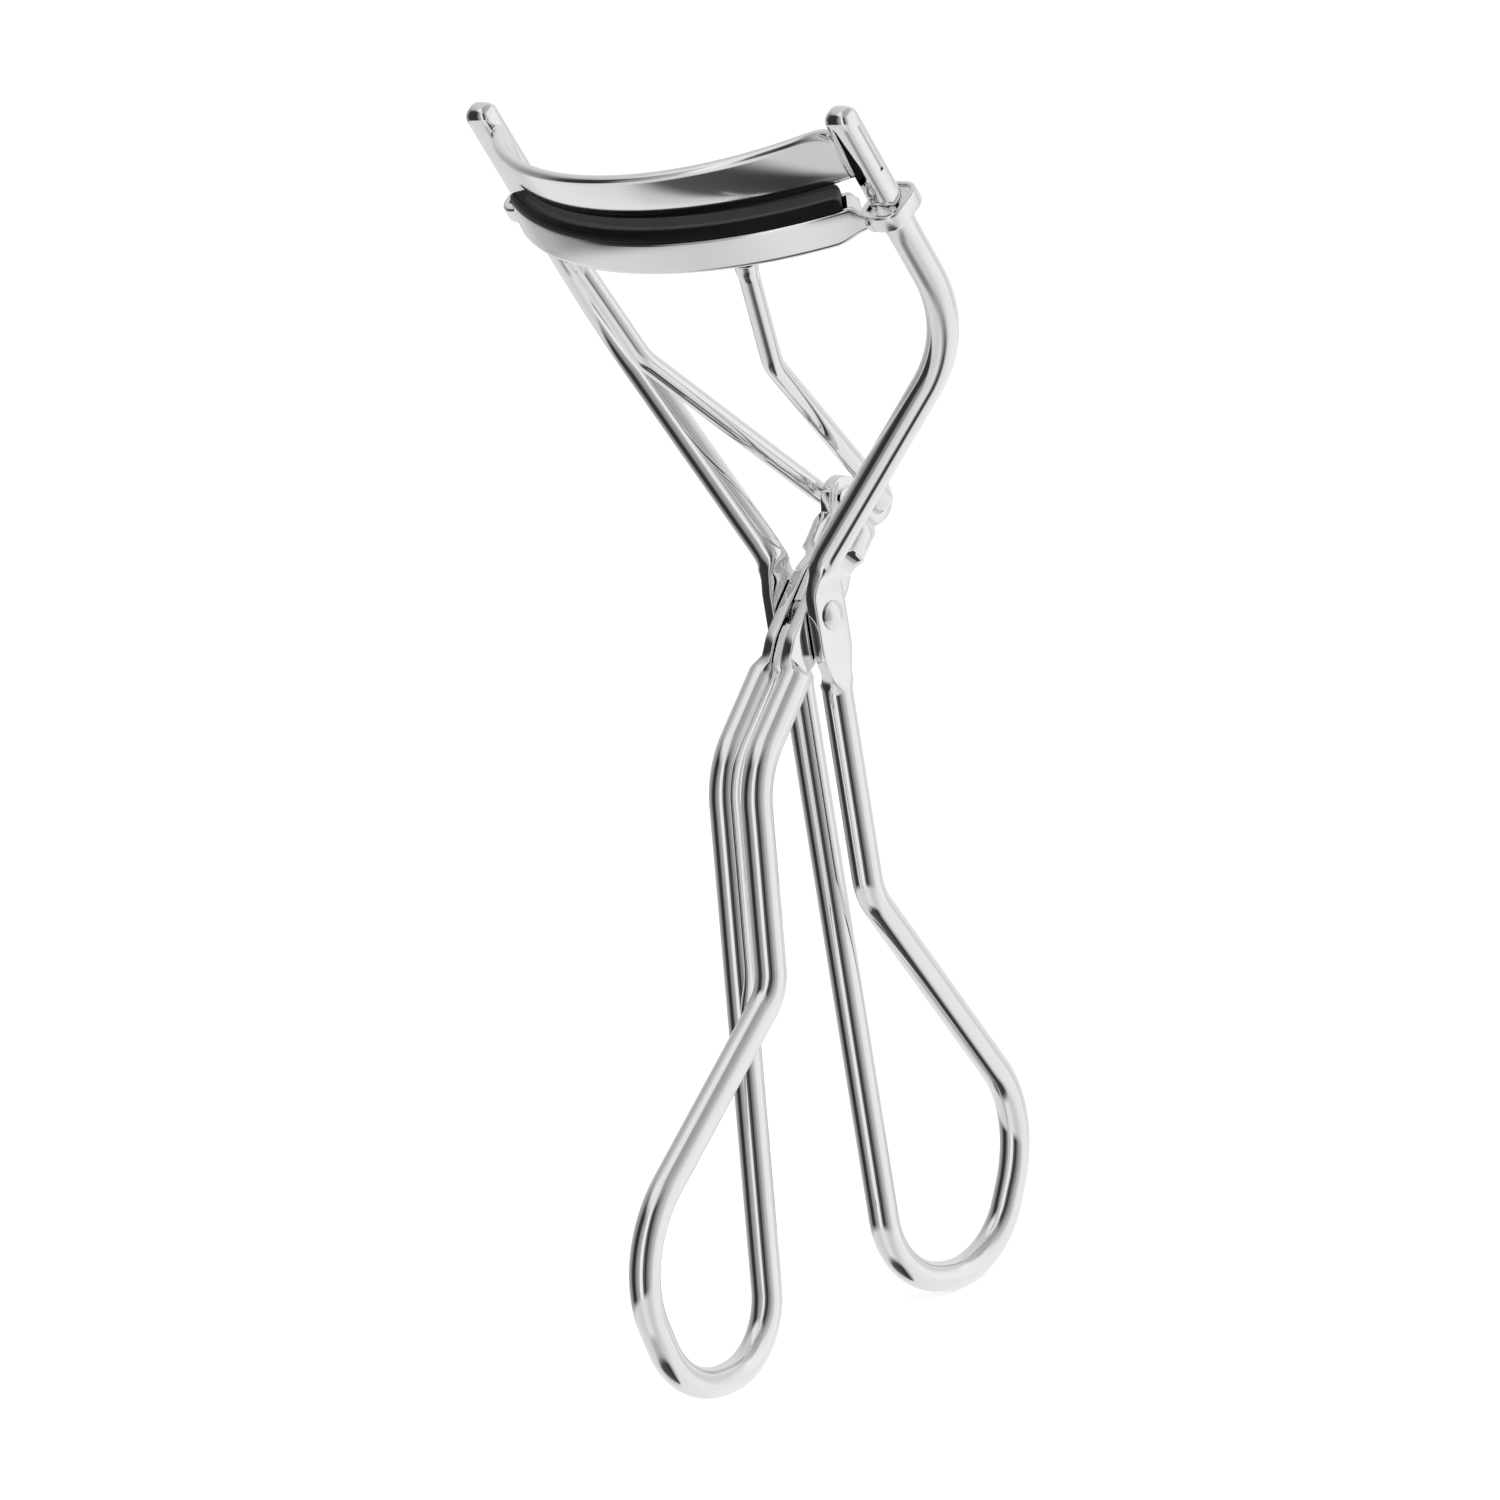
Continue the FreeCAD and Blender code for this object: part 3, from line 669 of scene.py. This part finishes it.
@dataclass(frozen=True)
class Studio:
    """Floor, lamps and camera, in metres; the camera's place is counted from the pivot."""

    eye: tuple[float, float, float] = (0.31782, -0.35361, 0.13106)
    right: tuple[float, float, float] = (0.75683, 0.63526, -0.15386)
    down: tuple[float, float, float] = (0.07218, -0.31520, -0.94630)
    ahead: tuple[float, float, float] = (-0.64961, 0.70506, -0.28440)
    lens: float = 156.09
    sensor: float = 36.0
    nearest: float = 0.01
    lamps: tuple[Lamp, ...] = (Lamp("key", (0.55, -0.35, 0.75), 0.5, 9.0),
                               Lamp("fill", (-0.7, -0.3, 0.5), 0.6, 4.0))
    floor_half: float = 6.0
    floor_tone: float = 0.45
    floor_glow: float = 0.65
    floor_roughness: float = 0.9

    def build(self) -> None:
        """Put the floor, lamps and camera in place."""
        self._floor()
        for lamp in self.lamps:
            lamp.hang()
        self._camera()

    def _floor(self) -> None:
        """A plain pale floor that the metal does not mirror."""
        half = self.floor_half
        corners = [(-half, -half, 0), (half, -half, 0), (half, half, 0), (-half, half, 0)]
        mesh = bpy.data.meshes.new("floor")
        mesh.from_pydata(corners, [], [(0, 1, 2, 3)])
        floor = bpy.data.objects.new("floor", mesh)
        bpy.context.collection.objects.link(floor)
        material = bpy.data.materials.new("pale_floor")
        material.use_nodes = True
        shader = material.node_tree.nodes["Principled BSDF"]
        shader.inputs["Base Color"].default_value = (*(self.floor_tone,) * 3, 1)
        shader.inputs["Emission Color"].default_value = (1, 1, 1, 1)
        shader.inputs["Emission Strength"].default_value = self.floor_glow
        shader.inputs["Roughness"].default_value = self.floor_roughness
        shader.inputs["Specular IOR Level"].default_value = 0.0
        mesh.materials.append(material)
        floor.visible_glossy = False

    def _camera(self) -> None:
        """The camera, set by its own axes."""
        data = bpy.data.cameras.new("camera")
        data.lens = self.lens
        data.sensor_width = self.sensor
        data.clip_start = self.nearest
        camera = bpy.data.objects.new("camera", data)
        bpy.context.collection.objects.link(camera)
        axes = Matrix((self.right, [-c for c in self.down], [-c for c in self.ahead])).transposed()
        camera.matrix_world = Matrix.Translation(PIVOT_M + Vector(self.eye)) @ axes.to_4x4()
        bpy.context.scene.camera = camera


# ------------------------------------------------------------------ bent wires

@dataclass(frozen=True)
class FrameWire(Wire):
    """The outer wire: a post, an arm and an ear on each side, and the rear finger loop between.

    Each corner of the loop is (x, reach, rise, bend radius); the groove is (foot, top, width,
    depth). The thin and wide pairs say where the ear's flat sets in, counted from its top and foot.
    """

    posts: Posts = Posts()
    half_gap: float = 1.92
    arm_corner: tuple[float, float] = (18.9, 12.0)
    arm_foot: tuple[float, float] = (3.5, 6.0)
    loop: tuple[Corner, ...] = (
        (1.92, 0, -22.5, 4.8), (0.2, 16.3, -46.8, 10.6), (-1.0, 10.7, -58.35, 6.4),
        (-1.92, 0, -55.2, 7.2))
    ear_top: float = 3.6
    ear_foot: float = -5.3
    ear_half: tuple[float, float] = (0.55, 1.75)
    ear_middle: float = 2.15
    ear_square: float = 7.0
    thin_top: tuple[float, float] = (0.7, -0.5)
    thin_foot: tuple[float, float] = (-0.5, 0.7)
    wide_top: tuple[float, float] = (0.4, -2.0)
    wide_foot: tuple[float, float] = (0.0, 2.8)
    post_foot: float = 28.6
    post_blend: float = 2.4
    post_top: float = 40.4
    post_half: tuple[float, float] = (1.15, 1.0)
    post_square: float = 1.3
    crown: float = 0.95
    shoulder: float = 0.92
    rivet_hole: float = 1.6
    groove: tuple[float, float, float, float] = (34.6, 38.8, 0.35, 0.15)

    def corners(self) -> list[tuple[Vector, float]]:
        """From the right post, round the finger loop, to the left post.

        Returns:
            The corners, each with its bend radius.
        """
        ends = {}
        for side in SIDES:
            span = side * self.posts.half_span
            ends[side] = [
                (self.posts.at(span, self.posts.offset, self.post_top - self.crown), 0.0),
                (self.posts.at(span, self.posts.offset, self.arm_corner[0]), self.arm_corner[1]),
                (at_pivot(side * self.half_gap, 0, self.arm_foot[0]), self.arm_foot[1])]
        middle = [(at_pivot(*corner[:3]), corner[3]) for corner in self.loop]
        return ends[1] + middle + ends[-1][::-1]

    def section(self, point: Vector) -> Section:
        """Round wire, a thin flat at the ears, a squared bar at the posts.

        Args:
            point: a point of the centre line.

        Returns:
            The section there.
        """
        radius = self.gauge / 2
        square = ease(self.post_foot, self.post_foot + self.post_blend, self.posts.level(point))
        rise = point.z - PIVOT.z
        thin = self._flat(rise, self.thin_top, self.thin_foot)
        wide = self._flat(rise, self.wide_top, self.wide_foot)
        shift = math.copysign(self.ear_middle - self.half_gap, point.x) * thin
        return Section(mix(mix(radius, self.ear_half[0], thin), self.post_half[0], square),
                       mix(mix(radius, self.ear_half[1], wide), self.post_half[1], square),
                       ROUND + self.ear_square * thin + self.post_square * square, shift)

    def _flat(self, rise: float, top: tuple[float, float], foot: tuple[float, float]) -> float:
        """How far the ear's flat has set in at a height.

        Args:
            rise: the height above the pivot.
            top: where it starts and is full, counted from the ear's top.
            foot: the same, counted from the ear's foot.

        Returns:
            0 off the ear, 1 on it.
        """
        return (ease(self.ear_top + top[0], self.ear_top + top[1], rise)
                * ease(self.ear_foot + foot[0], self.ear_foot + foot[1], rise))

    def rings(self) -> list[list[Vector]]:
        """Every ring, with the domed tops of both posts.

        Returns:
            The rings from end to end.
        """
        right = [self._dome(1, degrees) for degrees in DOME_TURNS[::-1]]
        left = [self._dome(-1, degrees) for degrees in DOME_TURNS]
        return right + super().rings() + left

    def _dome(self, side: int, degrees: float) -> list[Vector]:
        """A ring of a post's domed top.

        Args:
            side: 1 for the right post, -1 for the left.
            degrees: how far up the dome's curve.

        Returns:
            The ring's points.
        """
        turn = math.radians(degrees)
        level = self.post_top - self.crown * (1 - math.sin(turn))
        inward = 1 - math.cos(turn)
        full = self.section(self.posts.at(0, 0, self.post_top))
        section = Section(full.half_side - self.shoulder * inward,
                          full.half_deep - self.crown * inward, full.power)
        point = self.posts.at(side * self.posts.half_span, self.posts.offset, level)
        return self.ring(section, point, self.posts.up * -side)

    def dress(self, finish: bpy.types.Material) -> None:
        """Build the wire with its rivet hole and the fine grooves in its posts.

        Args:
            finish: the wire's material.
        """
        piece = self.make("outer_wire")
        foot, top, wide, deep = self.groove
        cutters = [rod("rivet_cut", PIVOT, self.rivet_hole / 2)]
        for side in SIDES:
            face = side * (self.posts.half_span + self.post_half[0])
            rings = [[self.posts.at(x, self.posts.offset + offset, level)
                      for x, offset in ((face - deep, -wide / 2), (face + deep, -wide / 2),
                                        (face + deep, wide / 2), (face - deep, wide / 2))]
                     for level in (foot, top)]
            cutters.append(skin("groove_cut", [rings]))
        drill(piece, cutters)
        fit(piece, "frame", Slot.WIRE, finish, "frame_wire")


@dataclass(frozen=True)
class LeverWire(Wire):
    """The inner wire: an eye, an arm and an ear on each side, and the front finger loop between.

    Each corner of the loop is (x, reach, rise, bend radius). The thin, wide and eye pairs say
    where each flat sets in, counted from the end of the ear and from the eye's centre.
    """

    half_gap: float = 1.6
    bend: tuple[float, float, float] = (-10.37, -9.31, 7.0)
    loop: tuple[Corner, ...] = (
        (1.6, -12.2, -25.95, 4.0), (0.1, -31.1, -40.65, 9.4), (-0.9, -26.5, -53.9, 8.4),
        (-1.6, -15.42, -55.06, 5.4))
    ear_reach: float = 4.7
    ear_half: tuple[float, float] = (0.55, 1.75)
    ear_middle: float = 0.95
    ear_square: float = 7.0
    ear_drop: float = 9.0
    thin_end: tuple[float, float] = (0.8, -0.1)
    wide_end: tuple[float, float] = (0.4, -2.0)
    eye_radius: float = 1.85
    eye_half_thick: float = 0.55
    eye_drop: float = 6.0
    eye_neck: float = 0.9
    eye_end: tuple[float, float] = (-2.8, -1.7)
    tip_share: float = 0.985
    eye_hole: float = 2.1
    rivet_hole: float = 1.6

    @property
    def arm(self) -> Vector:
        """The direction from the pivot to the eye."""
        return (EYE - PIVOT).normalized()

    def corners(self) -> list[tuple[Vector, float]]:
        """From the right eye's tip, round the finger loop, to the left eye's tip.

        Returns:
            The corners, each with its bend radius.
        """
        tip = EYE + self.arm * self.eye_radius * self.tip_share
        ends = {side: [(tip + Vector((side * self.half_gap - tip.x, 0, 0)), 0.0),
                       (at_pivot(side * self.half_gap, *self.bend[:2]), self.bend[2])]
                for side in SIDES}
        middle = [(at_pivot(*corner[:3]), corner[3]) for corner in self.loop]
        return ends[1] + middle + ends[-1][::-1]

    def section(self, point: Vector) -> Section:
        """Round wire, a thin flat at the ears, a round flat eye at each end.

        Args:
            point: a point of the centre line.

        Returns:
            The section there.
        """
        radius, reach = self.gauge / 2, self.ear_reach
        along = (point - PIVOT).dot(self.arm)
        away = abs(along) if point.z > PIVOT.z - self.ear_drop else 2 * reach
        thin = ease(reach + self.thin_end[0], reach + self.thin_end[1], away)
        wide = ease(reach + self.wide_end[0], reach + self.wide_end[1], away)
        near_eye = point.z > EYE.z - self.eye_drop
        past = along - (EYE - PIVOT).length if near_eye else -self.ear_drop
        flat = ease(*self.eye_end, past)
        disc = 0.0
        if past > -self.eye_radius:
            disc = math.sqrt(max(self.eye_radius ** 2 - past ** 2, 0.01))
        deep = disc
        if past <= 0:
            deep = max(mix(mix(radius, self.ear_half[1], wide), self.eye_neck, flat), disc)
        shift = math.copysign(self.half_gap - self.ear_middle, -point.x) * thin
        return Section(mix(mix(radius, self.ear_half[0], thin), self.eye_half_thick, flat), deep,
                       ROUND + self.ear_square * max(thin, flat), shift)

    def dress(self, finish: bpy.types.Material) -> None:
        """Build the wire with its rivet and eye holes.

        Args:
            finish: the wire's material.
        """
        piece = self.make("inner_wire")
        drill(piece, [rod("rivet_cut", PIVOT, self.rivet_hole / 2),
                      rod("eye_cut", EYE, self.eye_hole / 2)])
        fit(piece, "lever", Slot.WIRE, finish, "lever_wire")


@dataclass(frozen=True)
class Prong(Wire):
    """A thin wire from under the lower jaw to the lever's eye, turned inward as a pin."""

    gauge: float = 1.6
    step: float = 0.3
    reference: tuple[float, float, float] = (0.0, 0.8, 0.6)
    side: int = 1
    posts: Posts = Posts()
    top: tuple[float, float, float] = (8.45, 5.2, 31.62)
    middle: tuple[float, float, float, float] = (6.4, 4.25, 22.2, 4.0)
    foot: tuple[float, float] = (3.0, 1.2)
    pin_end: float = 0.95
    collar: float = 0.1
    collar_foot: tuple[float, float] = (-1.0, -0.8)

    def corners(self) -> list[tuple[Vector, float]]:
        """From the jaw's underside to the end of the pin.

        Returns:
            The corners, each with its bend radius.
        """
        return [(self.posts.at(self.side * self.top[0], *self.top[1:]), 0.0),
                (self.posts.at(self.side * self.middle[0], *self.middle[1:3]), self.middle[3]),
                (Vector((self.side * self.foot[0], EYE.y, EYE.z)), self.foot[1]),
                (Vector((self.side * self.pin_end, EYE.y, EYE.z)), 0.0)]

    def section(self, point: Vector) -> Section:
        """Round wire with a small upset collar under the jaw.

        Args:
            point: a point of the centre line.

        Returns:
            The section there.
        """
        start, end = (self.top[2] + step for step in self.collar_foot)
        radius = self.gauge / 2 + self.collar * ease(start, end, self.posts.level(point))
        return Section(radius, radius)

    def dress(self, finish: bpy.types.Material) -> None:
        """Build the prong."""
        word = "right" if self.side > 0 else "left"
        fit(self.make("jaw_prong_" + word), "carriage", Slot.WIRE, finish, "prong_" + word)


# ------------------------------------------------------------------ jaws

def round_corners(points: list[tuple[float, float]], radii: list[float],
                  pieces: int = 4) -> list[tuple[float, float]]:
    """Round a closed outline's corners.

    Args:
        points: the corners in order.
        radii: one radius for each corner; 0 leaves it sharp.
        pieces: how many steps each rounded corner takes.

    Returns:
        The outline's points; their number depends only on the number of corners and on pieces.
    """
    outline = []
    for i, (corner, radius) in enumerate(zip(points, radii)):
        here = Vector(corner)
        back = (Vector(points[i - 1]) - here).normalized()
        ahead = (Vector(points[(i + 1) % len(points)]) - here).normalized()
        half = max(back.angle(ahead) / 2, 0.05)
        leg = radius / math.tan(half)
        for k in range(pieces + 1):
            t = k / pieces
            first, last = here + back * leg, here + ahead * leg
            point = first * (1 - t) ** 2 + here * 2 * t * (1 - t) + last * t ** 2
            outline.append((point.x, point.y))
    return outline


@dataclass(frozen=True)
class Arc:
    """A jaw's curve seen from above: its radius and the depth of its foremost point."""

    radius: float
    front: float

    def at(self, level: JawLevel, x: float, inward: float, high: float) -> Vector:
        """The point inward of the arc on the radius that meets the arc at x.

        Args:
            level: the jaws' level.
            x: where the radius meets the arc.
            inward: how far in from the arc.
            high: the height.

        Returns:
            The point.
        """
        share = (self.radius - inward) / self.radius
        deep = self.front + self.radius - math.sqrt(self.radius ** 2 - x ** 2) * share
        return level.at(x * share, deep, high)


def stations(half: float, count: int, fine: float) -> list[float]:
    """Places along a jaw, closer together at each end.

    Args:
        half: half the jaw's length.
        count: how many even steps there are between the ends.
        fine: the length of each end that is divided finely.

    Returns:
        The places, from -half to half.
    """
    inner = [(-1 + 2 * i / count) * (half - fine) for i in range(count + 1)]
    edge = [half - fine * (1 - math.sin(math.radians(a))) for a in END_TURNS]
    return [-x for x in edge[::-1]] + inner + edge


@dataclass(frozen=True)
class UpperPlate:
    """The fixed plate between the posts: a curved strip that flares forward, with a rounded rim."""

    level: JawLevel = JawLevel()
    low: Arc = Arc(26.1, -6.75)
    high: Arc = Arc(20.5, -10.45)
    low_level: float = 4.75
    high_level: float = 9.4
    thick: float = 0.95
    half: float = 16.5
    rim: float = 0.4
    flare: float = 0.45
    rows: int = 14
    columns: int = 72
    rim_steps: int = 7
    corner: float = 1.3

    def dress(self, finish: bpy.types.Material) -> None:
        """Build the plate.

        Args:
            finish: the sheet's material.
        """
        places = stations(self.half, self.columns, self.corner)
        piece = skin("upper_plate", [[self._ring(x) for x in places]])
        fit(piece, "frame", Slot.SHEET, finish, "upper_jaw")

    def _ring(self, x: float) -> list[Vector]:
        """The plate's outline across the strip at one place along it.

        Args:
            x: the place.

        Returns:
            The outline's points.
        """
        drop = max(abs(x) - (self.half - self.corner), 0.0)
        lost = self.corner - math.sqrt(max(self.corner ** 2 - drop ** 2, 0.0))
        margin = self.rim / (self.high_level - self.low_level)
        top = 1 - margin - lost / (self.high_level - self.low_level)
        steps = [mix(margin, top, i / self.rows) for i in range(self.rows + 1)]
        front = [self._point(x, 0.0, t) for t in steps]
        back = [self._point(x, self.thick, t) for t in reversed(steps)]
        return front + self._bead(x, top, 1) + back + self._bead(x, margin, -1)

    def _point(self, x: float, inward: float, share: float) -> Vector:
        """A point of the strip.

        Args:
            x: the place along it.
            inward: how far back from its front face.
            share: how far up, from 0 at its low edge to 1 at its high edge.

        Returns:
            The point.
        """
        lean = share ** self.flare
        spots = [arc.front + arc.radius - math.sqrt(arc.radius ** 2 - x ** 2)
                 for arc in (self.low, self.high)]
        slope = mix(x / self.low.radius, x / self.high.radius, lean)
        return self.level.at(x, mix(*spots, lean) + inward / math.sqrt(1 - slope ** 2),
                             mix(self.low_level, self.high_level, share))

    def _bead(self, x: float, share: float, way: int) -> list[Vector]:
        """The rounded edge over the top, or under the bottom, of the strip.

        Args:
            x: the place along the strip.
            share: the height it starts from, as in _point.
            way: 1 over the top, -1 under the bottom.

        Returns:
            The edge's points.
        """
        turns = [math.pi * i / self.rim_steps for i in range(1, self.rim_steps)][::way]
        return [self._point(x, self.thick * (1 - math.cos(a)) / 2, share)
                + self._up * (way * self.rim * math.sin(a)) for a in turns]

    @property
    def _up(self) -> Vector:
        """Up, square to the jaws' level."""
        return self.level.at(0, 0, 1) - self.level.at(0, 0, 0)


@dataclass(frozen=True)
class LowerJaw:
    """The sliding jaw: a folded channel for the pad, with a ring about each post."""

    level: JawLevel = JawLevel()
    arc: Arc = Arc(26.0, -8.45)
    deep: float = 3.6
    wall: float = 0.6
    base: float = 0.4
    rim: float = 3.05
    half: float = 17.2
    trough_half: float = 15.95
    ring_level: tuple[float, float] = (30.3, 31.7)
    ring_half: float = 1.38
    ring_front: float = 1.56
    ring_back: float = 1.66
    ring_wall: float = 0.5
    ring_corner: float = 1.0
    ring_soft: float = 0.9
    ring_pieces: int = 8
    end_rim: float = 2.32
    end_base: float = 0.95
    end_fine: float = 1.4
    rim_fall: tuple[float, float] = (0.7, 0.05)
    base_rise: float = 0.6
    floor_rise: float = 0.3
    floor_drop: float = 0.05
    fold: float = 0.45
    lip: float = 0.24
    crease: float = 0.02
    columns: int = 84

    def dress(self, finish: bpy.types.Material) -> None:
        """Build the channel, and the ring at each of its ends.

        Args:
            finish: the sheet's material.
        """
        shell = [self._channel(x) for x in stations(self.half, self.columns, self.end_fine)]
        piece = skin("lower_channel", [shell])
        fit(piece, "carriage", Slot.SHEET, finish, "lower_jaw")
        for side in SIDES:
            word = "right" if side > 0 else "left"
            ring = skin("post_ring_" + word, [self._ring(side)], looped=True)
            fit(ring, "carriage", Slot.SHEET, finish, "lower_jaw")

    def _channel(self, x: float) -> list[Vector]:
        """The folded outline at one place along the jaw.

        Args:
            x: the place.

        Returns:
            The outline's points.
        """
        end, trough = abs(x), self.trough_half
        fall = ease(trough + self.rim_fall[0], self.half + self.rim_fall[1], end)
        rim = mix(self.rim, self.end_rim, fall)
        base = mix(self.base, self.end_base, ease(trough - self.base_rise, self.half, end))
        filled = ease(trough, trough + self.floor_rise, end)
        floor = mix(base + self.wall, rim - self.floor_drop, filled)
        near, far = self.wall, self.deep - self.wall
        outline = round_corners(
            [(0, base), (0, rim), (near, rim), (near, floor), (far, floor), (far, rim),
             (self.deep, rim), (self.deep, base)],
            [self.fold, self.lip, self.lip, self.crease, self.crease, self.lip, self.lip,
             self.fold])
        return [self.arc.at(self.level, x, inward, high) for inward, high in outline]

    def _ring(self, side: int) -> list[list[Vector]]:
        """The band about one post, as a closed row of rings.

        Args:
            side: 1 for the right post, -1 for the left.

        Returns:
            The rings in order.
        """
        posts, wall = self.level.posts, self.ring_wall / 2
        low, high = self.ring_level
        sizes = (self.ring_half, self.ring_front, self.ring_back)
        half, front, back = (size + wall for size in sizes)
        middle = round_corners([(-half, -front), (half, -front), (half, back), (-half, back)],
                               [self.ring_corner + wall] * 4, self.ring_pieces)
        band = round_corners([(-wall, low), (-wall, high), (wall, high), (wall, low)],
                             [wall * self.ring_soft] * 4)
        rows = []
        for i, (x, y) in enumerate(middle):
            ahead = Vector(middle[(i + 1) % len(middle)]) - Vector(middle[i - 1])
            out = Vector((ahead.y, -ahead.x)).normalized()
            rows.append([posts.at(side * posts.half_span + x + out.x * across,
                                  posts.offset + y + out.y * across, level)
                         for across, level in band])
        return rows


@dataclass(frozen=True)
class RubberPad:
    """The moulded pad: a root pressed into the channel and a soft, slightly dished cap."""

    level: JawLevel = JawLevel()
    arc: Arc = Arc(26.1, -8.55)
    deep: float = 3.8
    half: float = 16.3
    cap_foot: float = 3.1
    top: float = 4.1
    root_foot: float = 1.06
    root_in: float = 0.76
    end_round: float = 0.6
    root_end: float = 0.75
    draw_in: float = 0.8
    thinnest: float = 0.35
    sliver: float = 0.02
    bead: float = 0.5
    bead_wide: float = 1.1
    dish: float = 0.16
    dish_round: float = 0.3
    under_round: float = 0.2
    root_round: float = 0.005
    corner_steps: int = 5
    columns: int = 84

    def dress(self, finish: bpy.types.Material) -> None:
        """Build the pad.

        Args:
            finish: the rubber's material.
        """
        places = stations(self.half, self.columns, self.end_round)
        piece = skin("soft_pad", [[self._ring(x) for x in places]])
        fit(piece, "carriage", Slot.RUBBER, finish, "rubber_pad")

    def _ring(self, x: float) -> list[Vector]:
        """The pad's outline at one place along it, drawn in and lowered at the very ends.

        Args:
            x: the place.

        Returns:
            The outline's points.
        """
        past = max(abs(x) - (self.half - self.end_round), 0.0) / self.end_round
        shrink = self.end_round * (1 - math.sqrt(max(1 - past * past, 0.0))) * self.draw_in
        top, near, far = self.top - shrink, shrink, self.deep - shrink
        foot = min(self.cap_foot, top - self.thinnest)
        rooted = self.root_foot if abs(x) < self.half - self.root_end else foot - self.sliver
        low, root_far = top - self.dish, self.deep - self.root_in
        outline = round_corners(
            [(near, foot), (near, top), (near + self.bead_wide, low), (far - self.bead_wide, low),
             (far, top), (far, foot), (root_far, foot), (root_far, rooted),
             (self.root_in, rooted), (self.root_in, foot)],
            [self.under_round, self.bead, self.dish_round, self.dish_round, self.bead,
             self.under_round] + [self.root_round] * 4, self.corner_steps)
        return [self.arc.at(self.level, x, inward, high) for inward, high in outline]


@dataclass(frozen=True)
class Rivets:
    """The two pivot rivets: CAD nodes that keep their own meshes."""

    nodes: tuple[str, ...] = ("pivot_rivet_right", "pivot_rivet_left")

    def dress(self, finish: bpy.types.Material) -> None:
        """Give the rivets their finish.

        Args:
            finish: the rivets' material.
        """
        for name in self.nodes:
            node = frame["nodes"][name]
            node.data.materials.clear()
            node.data.materials.append(finish)
            LOG.info("%s: %d faces", name, len(node.data.polygons))


def main() -> None:
    """Build the studio and dress every piece."""
    logging.basicConfig(level=logging.INFO, format="%(name)s: %(message)s")
    bpy.context.scene.view_settings.view_transform = "Standard"
    Cyclorama().hang()
    Studio().build()
    drawn = Nickel("drawn_nickel").make()
    sheet = Nickel("sheet_nickel", roughness=0.12).make()
    domed = Nickel("rivet_nickel", roughness=0.16, cloud=0.08).make()
    FrameWire().dress(drawn)
    LeverWire().dress(drawn)
    for side in SIDES:
        Prong(side=side).dress(drawn)
    UpperPlate().dress(sheet)
    LowerJaw().dress(sheet)
    RubberPad().dress(Rubber().make())
    Rivets().dress(domed)


if __name__ == "__main__":
    main()
